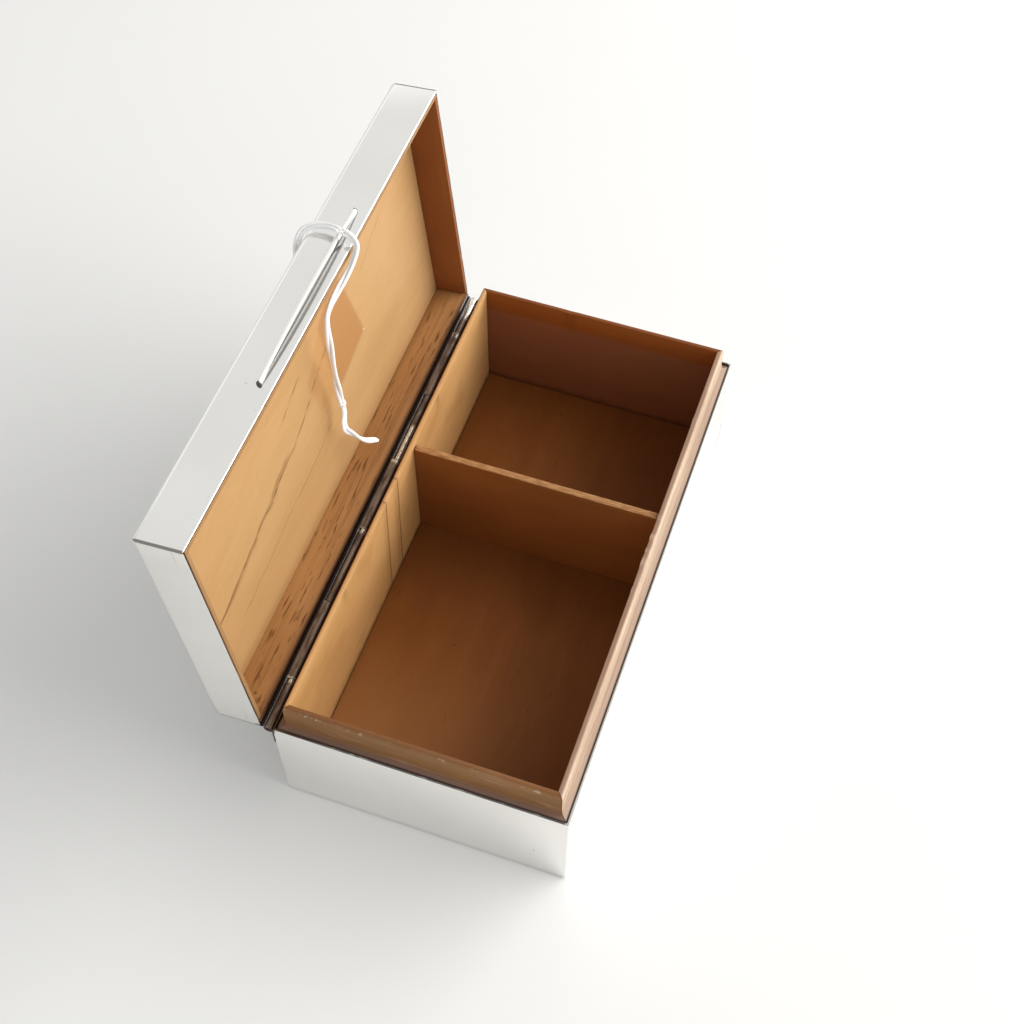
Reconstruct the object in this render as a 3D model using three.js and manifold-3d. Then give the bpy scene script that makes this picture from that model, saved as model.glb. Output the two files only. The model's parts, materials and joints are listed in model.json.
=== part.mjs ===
// A silver-clad cigarette box with two cedar-lined compartments and a full-length hinged lid.
// Units are millimetres. +X runs along the hinge, -Y is the front with the thumb bar, +Z is up.
// The origin is the centre of the underside, and the lid stands open on its stop.

import * as THREE from 'three';
import { mergeVertices } from 'three/addons/utils/BufferGeometryUtils.js';
import Module from 'manifold-3d';

const wasm = await Module();
wasm.setup();

// ---- Driving dimensions ----

// whole box
const length = 165;
const width = 85.3;
const baseHeight = 37.6;
const lidHeight = 14.5;
const lidOpenAngle = THREE.MathUtils.degToRad(94.8);

// clearances
const seam = 0.2;
const mitreGap = 0.12;
const lidClosedGap = 0.15;

// silver sheet
const silverThickness = 0.6;
const silverBottomLift = 0.3;
const lidEdgeRadius = 2;

// underside pad and bottom board
const padThickness = 0.8;
const padInset = 1.4;
const bottomThickness = 2.8;

// wooden carcass behind the silver, and the cedar lining inside it
const carcassThickness = 1.8;
const carcassEdgeDrop = 0.5;
const liningThickness = 1.7;
const lipHeight = 9.4;
const lipRoundAcross = 0.8;
const lipRoundDown = 1.6;
const floorThickness = 1.8;

// divider between the two compartments
const dividerX = 14.2;
const dividerThickness = 2;
const dividerTopDrop = 1.6;
const dividerCornerRadius = 0.6;

// cedar in the lid
const lidLiningThickness = 1.2;
const lidPanelThickness = 2.7;
const lidPanelDrop = 0.6;
const lidEndLiningGap = 0.4;

// hinge
const hingePinRadius = 0.72;
const hingeBoreRadius = 0.8;
const barrelRadius = 1.5;
const barrelStandOff = 0.1;
const barrelBelowRim = 1.7;
const barrelEndInset = 0.3;
const endKnuckleLength = 16;
const innerKnuckles = 5;
const knuckleGap = 0.12;
const leafThickness = 0.5;
const leafHeight = 5;
const leafClearance = 0.4;
const leafSeam = 0.15;

// thumb bar on the lid's front
const thumbBarLength = 63;
const thumbBarTipProjection = 1.1;
const thumbBarMiddleHeight = 2.8;
const thumbBarMiddleProjection = 2.2;
const thumbBarAboveRim = 3.9;

// doubled cotton string that hangs over the thumb bar
const stringDiameter = 1.9;
const stringSides = 8;
const knotRadius = 2;

// smoothness of round shapes
const roundSegments = 24;
const quarterSegments = 8;

// ---- Sizes that follow from them ----

const carcassInset = silverThickness + seam;
const liningInset = carcassInset + carcassThickness + seam;
const lipTop = baseHeight + lipHeight;
const wallInside = liningInset + liningThickness;
const bottomTop = padThickness + bottomThickness;
const floorBase = bottomTop + seam;
const floorTop = floorBase + floorThickness;
const lidRim = baseHeight + lidClosedGap;
const lidTop = baseHeight + lidHeight;
const lidLiningInset = silverThickness + seam;
const lidInnerRadius = lidEdgeRadius - silverThickness;
const lidPanelTop = lidTop - silverThickness - lidPanelDrop;
const lidPanelBase = lidPanelTop - lidPanelThickness;
// the panel's top edge clears the round inside corner of the silver
const lidPanelInset = lidEdgeRadius + seam
  - Math.sqrt(lidInnerRadius ** 2 - Math.max(0, lidInnerRadius - lidPanelDrop) ** 2);
const hingeY = width / 2 + barrelStandOff + barrelRadius;
const hingeZ = baseHeight - barrelBelowRim;
const barrelLength = length - 2 * barrelEndInset;
const innerKnuckleLength = (barrelLength - 2 * endKnuckleLength) / innerKnuckles;

// ---- Materials ----

function surface(color, roughness, metalness) {
  return new THREE.MeshStandardMaterial({ color, roughness, metalness });
}

const silver = () => surface(0xe3e2da, 0.14, 1);
const hingeSilver = () => surface(0x9a9486, 0.38, 1);
const cedarLight = () => surface(0xc89a63, 0.55, 0);
const cedarDark = () => surface(0x8a5531, 0.55, 0);
const carcassWood = () => surface(0x5f4032, 0.6, 0);
const feltGreen = () => surface(0x2c3a2e, 0.95, 0);
const cotton = () => surface(0xf2f1ee, 0.9, 0);

// ---- Helpers for solids ----

function toSolid(geometry) {
  const bare = geometry.index ? geometry.toNonIndexed() : geometry.clone();
  bare.deleteAttribute('normal');
  bare.deleteAttribute('uv');
  const merged = mergeVertices(bare, 1e-4);
  const mesh = new wasm.Mesh({
    numProp: 3,
    vertProperties: new Float32Array(merged.attributes.position.array),
    triVerts: new Uint32Array(merged.index.array),
  });
  return new wasm.Manifold(mesh);
}

function fromSolid(solid) {
  const mesh = solid.getMesh();
  const geometry = new THREE.BufferGeometry();
  geometry.setAttribute('position', new THREE.BufferAttribute(mesh.vertProperties, 3));
  geometry.setIndex(new THREE.BufferAttribute(mesh.triVerts, 1));
  geometry.computeVertexNormals();
  return geometry;
}

function boxBetween(low, high) {
  const size = high.map((value, axis) => value - low[axis]);
  const centre = high.map((value, axis) => (value + low[axis]) / 2);
  return new THREE.BoxGeometry(...size).translate(...centre);
}

function named(name, geometry, material) {
  const mesh = new THREE.Mesh(geometry, material);
  mesh.name = name;
  return mesh;
}

// One side of a mitred frame. The profile is drawn as (inset from the outside, height),
// and each end is cut back by its own inset, so four sides meet at 45 degrees.
function mitredSide(profile, halfLength, inward, gap) {
  const geometry = new THREE.ExtrudeGeometry(new THREE.Shape(profile), {
    depth: 1,
    bevelEnabled: false,
    steps: 1,
  });
  const position = geometry.attributes.position;
  for (let i = 0; i < position.count; i += 1) {
    const end = position.getZ(i) > 0.5 ? 1 : -1;
    position.setZ(i, end * (halfLength - position.getX(i) - gap));
  }
  const up = new THREE.Vector3(0, 0, 1);
  const along = new THREE.Vector3().crossVectors(inward, up);
  return geometry.applyMatrix4(new THREE.Matrix4().makeBasis(inward, up, along));
}

const sides = {
  front: { inward: new THREE.Vector3(0, 1, 0), offset: width / 2, half: length / 2 },
  back: { inward: new THREE.Vector3(0, -1, 0), offset: width / 2, half: length / 2 },
  left: { inward: new THREE.Vector3(1, 0, 0), offset: length / 2, half: width / 2 },
  right: { inward: new THREE.Vector3(-1, 0, 0), offset: length / 2, half: width / 2 },
};

// Four mitred boards, one for each side of the box.
function mitredFrame(prefix, profileOf, material) {
  return Object.entries(sides).map(([side, { inward, offset, half }]) => {
    const geometry = mitredSide(profileOf(side), half, inward, mitreGap);
    const outside = inward.clone().multiplyScalar(-offset);
    geometry.translate(outside.x, outside.y, outside.z);
    return named(`${prefix}_${side}`, geometry, material(side));
  });
}

// ---- Base ----

function underPad() {
  const x = length / 2 - padInset;
  const y = width / 2 - padInset;
  return named('under_pad', boxBetween([-x, -y, 0], [x, y, padThickness]), feltGreen());
}

function bottomBoard() {
  const x = length / 2 - liningInset;
  const y = width / 2 - liningInset;
  const geometry = boxBetween([-x, -y, padThickness + seam / 2], [x, y, bottomTop]);
  return named('bottom_board', geometry, carcassWood());
}

function rectangle(halfX, halfY, path) {
  path.moveTo(-halfX, -halfY);
  path.lineTo(halfX, -halfY);
  path.lineTo(halfX, halfY);
  path.lineTo(-halfX, halfY);
  path.closePath();
  return path;
}

function baseSilver() {
  const outline = rectangle(length / 2, width / 2, new THREE.Shape());
  const inner = rectangle(length / 2 - silverThickness, width / 2 - silverThickness, new THREE.Path());
  outline.holes.push(inner);
  const geometry = new THREE.ExtrudeGeometry(outline, {
    depth: baseHeight - silverBottomLift,
    bevelEnabled: false,
    steps: 1,
  });
  return named('base_silver_band', geometry.translate(0, 0, silverBottomLift), silver());
}

function carcassProfile() {
  const inner = carcassInset + carcassThickness;
  return [
    new THREE.Vector2(carcassInset, padThickness + seam / 2),
    new THREE.Vector2(inner, padThickness + seam / 2),
    new THREE.Vector2(inner, baseHeight),
    new THREE.Vector2(carcassInset, baseHeight - carcassEdgeDrop),
  ];
}

// The lining stands above the carcass as the lip that the lid closes over,
// with a flat top and a rounded outer edge.
function liningProfile() {
  const points = [
    new THREE.Vector2(liningInset, bottomTop + seam),
    new THREE.Vector2(wallInside, bottomTop + seam),
    new THREE.Vector2(wallInside, lipTop),
  ];
  for (let i = 0; i <= quarterSegments; i += 1) {
    const angle = (i / quarterSegments) * (Math.PI / 2);
    points.push(new THREE.Vector2(
      liningInset + lipRoundAcross * (1 - Math.sin(angle)),
      lipTop - lipRoundDown * (1 - Math.cos(angle)),
    ));
  }
  return points;
}

function floorBoard() {
  const x = length / 2 - wallInside - seam;
  const y = width / 2 - wallInside - seam;
  return named('floor_board', boxBetween([-x, -y, floorBase], [x, y, floorTop]), cedarDark());
}

function divider() {
  const halfDepth = width / 2 - wallInside - seam;
  const top = lipTop - dividerTopDrop;
  const r = dividerCornerRadius;
  const outline = new THREE.Shape();
  outline.moveTo(-halfDepth, floorTop + seam);
  outline.lineTo(halfDepth, floorTop + seam);
  outline.lineTo(halfDepth, top - r);
  outline.absarc(halfDepth - r, top - r, r, 0, Math.PI / 2, false);
  outline.lineTo(-halfDepth + r, top);
  outline.absarc(-halfDepth + r, top - r, r, Math.PI / 2, Math.PI, false);
  outline.closePath();
  const geometry = new THREE.ExtrudeGeometry(outline, {
    depth: dividerThickness,
    bevelEnabled: false,
    steps: 1,
    curveSegments: quarterSegments,
  });
  // the outline's own (x, y) become (Y, Z), and its depth runs along X
  geometry.applyMatrix4(new THREE.Matrix4().makeBasis(
    new THREE.Vector3(0, 1, 0),
    new THREE.Vector3(0, 0, 1),
    new THREE.Vector3(1, 0, 0),
  ));
  geometry.translate(dividerX - dividerThickness / 2, 0, 0);
  return named('divider', geometry, cedarDark());
}

// ---- Hinge ----

// Where each knuckle starts and ends along X, with the base holding both end knuckles.
function knuckleSpans() {
  const spans = [];
  let start = -barrelLength / 2;
  for (let i = 0; i < innerKnuckles + 2; i += 1) {
    const isEnd = i === 0 || i === innerKnuckles + 1;
    const span = isEnd ? endKnuckleLength : innerKnuckleLength;
    spans.push({
      low: start + knuckleGap / 2,
      high: start + span - knuckleGap / 2,
      owner: i % 2 === 0 ? 'base' : 'lid',
    });
    start += span;
  }
  return spans;
}

function knuckleTube(low, high) {
  const ring = [
    new THREE.Vector2(hingeBoreRadius, low),
    new THREE.Vector2(barrelRadius, low),
    new THREE.Vector2(barrelRadius, high),
    new THREE.Vector2(hingeBoreRadius, high),
    new THREE.Vector2(hingeBoreRadius, low),
  ];
  const tube = new THREE.LatheGeometry(ring, roundSegments);
  return tube.rotateZ(-Math.PI / 2).translate(0, hingeY, hingeZ);
}

// A leaf is a strip on the back face with a tongue up or down to each of its own knuckles.
function hingeLeaf(name, owner, stripLow, stripHigh) {
  const near = width / 2 + leafSeam;
  const far = near + leafThickness;
  const half = barrelLength / 2;
  const tongueLow = Math.min(hingeZ, stripLow);
  const tongueHigh = Math.max(hingeZ, stripHigh);
  let solid = toSolid(boxBetween([-half, near, stripLow], [half, far, stripHigh]));
  for (const { low, high } of knuckleSpans().filter((span) => span.owner === owner)) {
    solid = solid.add(toSolid(boxBetween([low, near, tongueLow], [high, far, tongueHigh])));
    solid = solid.add(toSolid(knuckleTube(low, high)));
  }
  return named(name, fromSolid(solid), hingeSilver());
}

function baseHingeLeaf() {
  const high = hingeZ - barrelRadius - leafClearance;
  return hingeLeaf('base_hinge_leaf', 'base', high - leafHeight, high);
}

function lidHingeLeaf() {
  const low = hingeZ + barrelRadius + leafClearance;
  return hingeLeaf('lid_hinge_leaf', 'lid', low, low + leafHeight);
}

function hingePin() {
  const pin = new THREE.CylinderGeometry(hingePinRadius, hingePinRadius, barrelLength, roundSegments);
  return named('hinge_pin', pin.rotateZ(-Math.PI / 2).translate(0, hingeY, hingeZ), hingeSilver());
}

// ---- Lid, drawn closed on the base ----

// A block whose four top edges are round: the overlap of two rounded bars that cross.
function roundedTopBlock(halfX, halfY, low, top, radius) {
  const bar = (half, reach) => {
    const outline = new THREE.Shape();
    outline.moveTo(-half, low);
    outline.lineTo(half, low);
    outline.lineTo(half, top - radius);
    outline.absarc(half - radius, top - radius, radius, 0, Math.PI / 2, false);
    outline.absarc(-half + radius, top - radius, radius, Math.PI / 2, Math.PI, false);
    outline.closePath();
    const geometry = new THREE.ExtrudeGeometry(outline, {
      depth: 2 * reach,
      bevelEnabled: false,
      steps: 1,
      curveSegments: quarterSegments,
    });
    return geometry.translate(0, 0, -reach).rotateX(Math.PI / 2);
  };
  const across = toSolid(bar(halfX, halfY));
  const along = toSolid(bar(halfY, halfX).rotateZ(Math.PI / 2));
  return across.intersect(along);
}

function lidSilver() {
  const outer = roundedTopBlock(length / 2, width / 2, lidRim, lidTop, lidEdgeRadius);
  const hollow = roundedTopBlock(
    length / 2 - silverThickness,
    width / 2 - silverThickness,
    lidRim - 1,
    lidTop - silverThickness,
    lidEdgeRadius - silverThickness,
  );
  return named('lid_silver_shell', fromSolid(outer.subtract(hollow)), silver());
}

function lidPanel() {
  const x = length / 2 - lidPanelInset;
  const y = width / 2 - lidPanelInset;
  return named('lid_panel', boxBetween([-x, -y, lidPanelBase], [x, y, lidPanelTop]), cedarLight());
}

// The end linings stop short of the back one, which runs the full length of the hinge.
function lidLinings() {
  const x = length / 2 - lidLiningInset;
  const y = width / 2 - lidLiningInset;
  const t = lidLiningThickness;
  const low = lidRim;
  const high = lidPanelBase - seam;
  const endY = y - t - seam;
  const boxes = {
    front: [[-x, -y, low], [x, -y + t, high]],
    back: [[-x, y - t, low], [x, y, high]],
    left: [[-x, -endY, low], [-x + t, endY - lidEndLiningGap, high]],
    right: [[x - t, -endY, low], [x, endY - lidEndLiningGap, high]],
  };
  return Object.entries(boxes).map(([side, [from, to]]) => {
    const wood = side === 'back' ? cedarDark() : cedarLight();
    return named(`lid_lining_${side}`, boxBetween(from, to), wood);
  });
}

// A low spindle, flat against the lid's front wall and thickest at its middle.
function thumbBar() {
  const profile = [new THREE.Vector2(0, -thumbBarLength / 2)];
  const steps = 2 * quarterSegments;
  for (let i = 0; i <= steps; i += 1) {
    const t = (2 * i) / steps - 1;
    const swell = 1 - t * t;
    const radius = thumbBarTipProjection + (thumbBarMiddleProjection - thumbBarTipProjection) * swell;
    profile.push(new THREE.Vector2(radius, (t * thumbBarLength) / 2));
  }
  profile.push(new THREE.Vector2(0, thumbBarLength / 2));
  const spindle = new THREE.LatheGeometry(profile, roundSegments).rotateZ(-Math.PI / 2);
  spindle.scale(1, 1, thumbBarMiddleHeight / (2 * thumbBarMiddleProjection));
  const reach = thumbBarMiddleProjection + 1;
  const half = boxBetween([-thumbBarLength, -reach, -reach], [thumbBarLength, 0, reach]);
  const solid = toSolid(spindle).intersect(toSolid(half));
  const geometry = fromSolid(solid);
  geometry.translate(0, -width / 2 - seam, lidRim + thumbBarAboveRim);
  return named('thumb_bar', geometry, silver());
}

// ---- Tag string ----

// The inner run drops from the thumb bar over the rim and hangs inside the open lid.
const innerStringRoute = [
  [20.5, 56.4, 125.4],
  [20.3, 54.6, 125.1],
  [19.8, 52.9, 124.3],
  [19, 51.8, 123.1],
  [17.4, 51.5, 121.8],
  [14.9, 51.6, 120.4],
  [11.6, 52.1, 118.9],
  [7.6, 52.8, 117.4],
  [3.9, 53.4, 115.7],
  [1.7, 53.8, 113.2],
  [1.3, 54.1, 109.5],
  [1.6, 54.4, 105],
  [2, 54.6, 100],
  [2.6, 54.8, 91],
  [3.3, 55, 82],
  [4.1, 55, 74],
  [4.7, 54.9, 69.5],
  [4.3, 54.7, 66.8],
  [2.7, 54.3, 64.8],
  [2.1, 53.7, 62.6],
  [3.3, 52.9, 59.8],
  [5.2, 51.7, 55.6],
  [7.8, 50.6, 51.4],
  [11.5, 49.5, 47.4],
];

// The outer run lies across the lid's front wall and hangs down behind the open lid.
const outerStringRoute = [
  [20.7, 57.1, 125.3],
  [21.6, 59.3, 124.7],
  [22.2, 61.8, 123.9],
  [22.2, 64.2, 123.4],
  [21.5, 66.3, 122.8],
  [20.4, 68.1, 121.6],
  [18.9, 69, 119.3],
  [17.2, 69.1, 116],
  [15.9, 69, 111],
  [15.2, 68.8, 104],
  [14.9, 68.6, 96],
  [14.9, 68.5, 88],
  [15.2, 68.5, 80],
];

function stringTube(name, route) {
  const curve = new THREE.CatmullRomCurve3(route.map((point) => new THREE.Vector3(...point)));
  const section = new THREE.Shape();
  for (let i = 0; i < stringSides; i += 1) {
    const angle = (2 * Math.PI * i) / stringSides;
    const across = (stringDiameter / 2) * Math.cos(angle);
    const up = (stringDiameter / 2) * Math.sin(angle);
    if (i === 0) {
      section.moveTo(across, up);
    } else {
      section.lineTo(across, up);
    }
  }
  section.closePath();
  const steps = 2 * route.length;
  const geometry = new THREE.ExtrudeGeometry(section, { steps, extrudePath: curve, bevelEnabled: false });
  return named(name, geometry, cotton());
}

function stringKnot() {
  const [x, y, z] = outerStringRoute[outerStringRoute.length - 1];
  const knot = new THREE.SphereGeometry(knotRadius, roundSegments / 2, quarterSegments);
  return named('string_knot', knot.translate(x, y, z - knotRadius - seam), cotton());
}

// ---- Assembly ----

const base = new THREE.Group();
base.add(
  underPad(),
  bottomBoard(),
  baseSilver(),
  ...mitredFrame('carcass', carcassProfile, carcassWood),
  ...mitredFrame('lining', liningProfile, (side) => (side === 'back' ? cedarLight() : cedarDark())),
  floorBoard(),
  divider(),
  baseHingeLeaf(),
  hingePin(),
);

const closedLid = new THREE.Group();
closedLid.add(lidSilver(), lidPanel(), ...lidLinings(), thumbBar(), lidHingeLeaf());
closedLid.position.set(0, -hingeY, -hingeZ);

const lid = new THREE.Group();
lid.add(closedLid);
lid.position.set(0, hingeY, hingeZ);
lid.rotation.x = -lidOpenAngle;

const tagString = new THREE.Group();
tagString.add(
  stringTube('string_inner', innerStringRoute),
  stringTube('string_outer', outerStringRoute),
  stringKnot(),
);

const box = new THREE.Group();
box.add(base, lid, tagString);

export default box;
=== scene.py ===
"""A silver-clad table cigarette box with two cedar-lined compartments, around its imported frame.

Lengths are metres in the frame's own axes: +X along the hinge, -Y the front, +Z up.
Pieces of the lid are drawn with the lid shut and then turned open about the hinge.
"""

import json
import math

import bmesh
import bpy
import numpy as np
from mathutils import Matrix, Vector, noise


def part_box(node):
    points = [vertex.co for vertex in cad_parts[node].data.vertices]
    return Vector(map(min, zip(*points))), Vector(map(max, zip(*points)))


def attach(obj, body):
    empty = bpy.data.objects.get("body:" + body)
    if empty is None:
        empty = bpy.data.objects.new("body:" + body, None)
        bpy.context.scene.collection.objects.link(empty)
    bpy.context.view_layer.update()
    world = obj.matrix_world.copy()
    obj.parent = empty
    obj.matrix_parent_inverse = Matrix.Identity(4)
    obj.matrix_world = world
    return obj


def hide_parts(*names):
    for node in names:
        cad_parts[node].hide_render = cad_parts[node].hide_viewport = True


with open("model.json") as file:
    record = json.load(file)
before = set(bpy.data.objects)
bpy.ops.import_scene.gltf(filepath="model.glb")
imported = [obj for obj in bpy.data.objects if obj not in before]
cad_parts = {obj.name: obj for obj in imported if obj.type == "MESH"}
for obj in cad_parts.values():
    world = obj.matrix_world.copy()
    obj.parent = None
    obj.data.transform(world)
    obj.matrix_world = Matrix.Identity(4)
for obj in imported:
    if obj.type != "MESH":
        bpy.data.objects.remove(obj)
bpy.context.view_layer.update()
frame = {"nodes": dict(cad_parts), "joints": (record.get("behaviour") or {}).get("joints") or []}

MM = 0.001
scene = bpy.context.scene

# ---- Places and sizes read from the frame ----

hinge = next(joint for joint in frame["joints"] if joint["name"] == "lid_hinge")
hinge_point = Vector(hinge["pos_m"])
open_angle = math.radians(hinge["range_deg"][1])
to_shut = (
    Matrix.Translation(hinge_point)
    @ Matrix.Rotation(open_angle, 4, "X")
    @ Matrix.Translation(-hinge_point)
)
to_open = to_shut.inverted()


def shut_box(node):
    """Lowest and highest corner of one of the lid's CAD nodes, with the lid shut."""
    points = np.array([to_shut @ v.co for v in frame["nodes"][node].data.vertices])
    return Vector(points.min(0)), Vector(points.max(0))


band_low, band_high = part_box("base_silver_band")
shell_low, shell_high = shut_box("lid_silver_shell")
half_x = band_high.x
half_y = band_high.y
floor_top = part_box("floor_board")[1].z
lip_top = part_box("lining_front")[1].z
lid_rim = shell_low.z
silver_thickness = 0.6 * MM
lid_edge_radius = 2 * MM
barrel_radius = 1.5 * MM


# ---- Camera ----

camera_place = Vector((-0.2447, -0.0865, 0.4380))
camera_forward = Vector((0.522, 0.189, -0.832)).normalized()
camera_right = Vector((0.332, -0.943, -0.006))


def make_camera():
    data = bpy.data.cameras.new("camera")
    data.lens = 56.83
    data.sensor_width = 36
    camera = bpy.data.objects.new("camera", data)
    scene.collection.objects.link(camera)
    right = (camera_right - camera_right.dot(camera_forward) * camera_forward).normalized()
    up = right.cross(camera_forward)
    axes = Matrix((right, up, -camera_forward)).transposed()
    camera.matrix_world = Matrix.Translation(camera_place) @ axes.to_4x4()
    scene.camera = camera


make_camera()


# ---- Mesh helpers ----

def make_object(name, points, faces, sharp_degrees=32):
    """A mesh object with smooth shading, except over edges that turn more than that."""
    mesh = bpy.data.meshes.new(name)
    mesh.from_pydata([tuple(p) for p in points], [], faces)
    built = bpy.data.objects.new(name, mesh)
    scene.collection.objects.link(built)
    shade(mesh, sharp_degrees)
    return built


def shade(mesh, sharp_degrees):
    work = bmesh.new()
    work.from_mesh(mesh)
    bmesh.ops.remove_doubles(work, verts=work.verts, dist=1e-7)
    bmesh.ops.recalc_face_normals(work, faces=work.faces)
    for face in work.faces:
        face.smooth = True
    for edge in work.edges:
        edge.smooth = edge.calc_face_angle(0) < math.radians(sharp_degrees)
    work.to_mesh(mesh)
    work.free()


def loft(name, rings, wrap=False, sharp_degrees=32):
    """Joins rings of equal length. The first and last are capped, or joined if wrap is set."""
    count = len(rings[0])
    points = [p for ring in rings for p in ring]
    faces = []
    spans = len(rings) if wrap else len(rings) - 1
    for i in range(spans):
        here = i * count
        there = ((i + 1) % len(rings)) * count
        for j in range(count):
            k = (j + 1) % count
            faces.append((here + j, here + k, there + k, there + j))
    if not wrap:
        faces.append(tuple(range(count)))
        faces.append(tuple(range(len(points) - count, len(points))))
    return make_object(name, points, faces, sharp_degrees)


def rectangle_ring(low, high, inset, z, corner, edge_steps=12, corner_steps=3):
    """Points round an upright box's outline at height z, inset all round, with small round corners."""
    x0, y0 = low.x + inset, low.y + inset
    x1, y1 = high.x - inset, high.y - inset
    centres = [
        (x1 - corner, y0 + corner, -90),
        (x1 - corner, y1 - corner, 0),
        (x0 + corner, y1 - corner, 90),
        (x0 + corner, y0 + corner, 180),
    ]
    ring = []
    for index, (cx, cy, start) in enumerate(centres):
        for step in range(corner_steps + 1):
            angle = math.radians(start + 90 * step / corner_steps)
            ring.append(Vector((cx + corner * math.cos(angle), cy + corner * math.sin(angle), z)))
        last = ring[-1]
        nx, ny, nstart = centres[(index + 1) % 4]
        angle = math.radians(nstart)
        target = Vector((nx + corner * math.cos(angle), ny + corner * math.sin(angle), z))
        for step in range(1, edge_steps):
            ring.append(last.lerp(target, step / edge_steps))
    return ring


def slab(name, low, high, bevel):
    """A board with softened edges."""
    heights = [(low.z, bevel), (low.z + 0.3 * bevel, 0.3 * bevel), (low.z + bevel, 0)]
    heights += [(high.z - bevel, 0), (high.z - 0.3 * bevel, 0.3 * bevel), (high.z, bevel)]
    rings = [rectangle_ring(low, high, inset, z, bevel, edge_steps=16) for z, inset in heights]
    return loft(name, rings)


def turn_open(piece):
    """Turns a piece that was drawn with the lid shut to where the open lid has it."""
    piece.data.transform(to_open)
    piece.data.update()
    return piece


def join_solids(name, solids):
    """One mesh that is the union of overlapping closed solids."""
    first, rest = solids[0], solids[1:]
    for other in rest:
        cut = first.modifiers.new("join", "BOOLEAN")
        cut.operation = "UNION"
        cut.solver = "EXACT"
        cut.object = other
    bpy.context.view_layer.update()
    graph = bpy.context.evaluated_depsgraph_get()
    mesh = bpy.data.meshes.new_from_object(first.evaluated_get(graph))
    for solid in solids:
        bpy.data.objects.remove(solid)
    joined = bpy.data.objects.new(name, mesh)
    scene.collection.objects.link(joined)
    shade(mesh, 32)
    return joined


# ---- Node helpers ----

def add(kind, inputs=None, tree=None, **settings):
    """Adds a node to the tree that its linked inputs are in, or else to the given one.

    An input given as a socket is linked, and any other is its value.
    """
    inputs = inputs or {}
    sockets = [value for value in inputs.values() if isinstance(value, bpy.types.NodeSocket)]
    tree = tree or sockets[0].id_data
    made = tree.nodes.new(kind)
    for key, value in settings.items():
        setattr(made, key, value)
    for key, value in inputs.items():
        if isinstance(value, bpy.types.NodeSocket):
            tree.links.new(value, made.inputs[key])
        else:
            made.inputs[key].default_value = value
    return made


def plus(a, b, clamp=False):
    return add("ShaderNodeMath", {0: a, 1: b}, operation="ADD", use_clamp=clamp).outputs[0]


def minus(a, b):
    return add("ShaderNodeMath", {0: a, 1: b}, operation="SUBTRACT").outputs[0]


def times(a, b):
    return add("ShaderNodeMath", {0: a, 1: b}, operation="MULTIPLY").outputs[0]


def larger(a, b):
    return add("ShaderNodeMath", {0: a, 1: b}, operation="MAXIMUM").outputs[0]


def magnitude(value):
    return add("ShaderNodeMath", {0: value}, operation="ABSOLUTE").outputs[0]


def scaled(vector, scale):
    return add("ShaderNodeVectorMath", {0: vector, 1: scale}, operation="MULTIPLY").outputs[0]


def separate(vector):
    """The x, y and z of a vector."""
    return list(add("ShaderNodeSeparateXYZ", {0: vector}).outputs)


def cloud(vector, detail=3.0, roughness=0.55):
    """Noise from 0 to 1 in a space that is already scaled."""
    return add(
        "ShaderNodeTexNoise",
        {"Vector": vector, "Scale": 1.0, "Detail": detail, "Roughness": roughness},
    ).outputs["Fac"]


def between(value, low, high):
    """0 at low, 1 at high, and smooth between them. Low may be the larger."""
    return add(
        "ShaderNodeMapRange",
        {"Value": value, "From Min": low, "From Max": high},
        interpolation_type="SMOOTHSTEP",
    ).outputs[0]


def blend_colour(share, a, b):
    a, b = (c if isinstance(c, bpy.types.NodeSocket) else (*c, 1) for c in (a, b))
    mix = add("ShaderNodeMix", {0: share, 6: a, 7: b}, data_type="RGBA", blend_type="MIX")
    return mix.outputs[2]


def new_material(name):
    material = bpy.data.materials.new(name)
    material.use_nodes = True
    material.node_tree.nodes.clear()
    return material, material.node_tree


def finish_material(colour, rough, others):
    """Ends a material in one Principled shader with these inputs."""
    shader = add("ShaderNodeBsdfPrincipled", {"Base Color": colour, "Roughness": rough, **others})
    add("ShaderNodeOutputMaterial", {"Surface": shader.outputs[0]})


def place_in_frame(tree, on_lid=False):
    """The frame's coordinates on the surface. On the lid they are those of the shut lid."""
    place = add("ShaderNodeTexCoord", tree=tree).outputs["Object"]
    if not on_lid:
        return place
    return add(
        "ShaderNodeVectorRotate",
        {"Vector": place, "Center": hinge_point, "Angle": open_angle},
        rotation_type="X_AXIS",
    ).outputs[0]


def bumped(height, strength, distance):
    return add(
        "ShaderNodeBump",
        {"Height": height, "Strength": strength, "Distance": distance},
    ).outputs[0]


def stroke(parts, start, end, width):
    """1 along a line between two (x, y) points in millimetres, and 0 away from it."""
    a = Vector(start) * MM
    b = Vector(end) * MM
    along = (b - a).normalized()
    length = (b - a).length
    x = minus(parts[0], a.x)
    y = minus(parts[1], a.y)
    run = plus(times(x, along.x), times(y, along.y))
    off = minus(times(y, along.x), times(x, along.y))
    near = between(magnitude(off), width * MM, 0.0)
    began = between(run, -2 * MM, 3 * MM)
    ended = between(run, length + 2 * MM, length - 3 * MM)
    return times(near, times(began, ended))


def inside_outline(parts, corners, soft):
    """1 inside a convex outline of (x, y) points in millimetres, going round anticlockwise."""
    mask = 1.0
    for start, end in zip(corners, corners[1:] + corners[:1]):
        a = Vector(start) * MM
        side = (Vector(end) * MM - a).normalized()
        x = minus(parts[0], a.x)
        y = minus(parts[1], a.y)
        inward = minus(times(y, side.x), times(x, side.y))
        mask = times(mask, between(inward, -soft * MM, soft * MM))
    return mask


# ---- Materials ----

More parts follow.
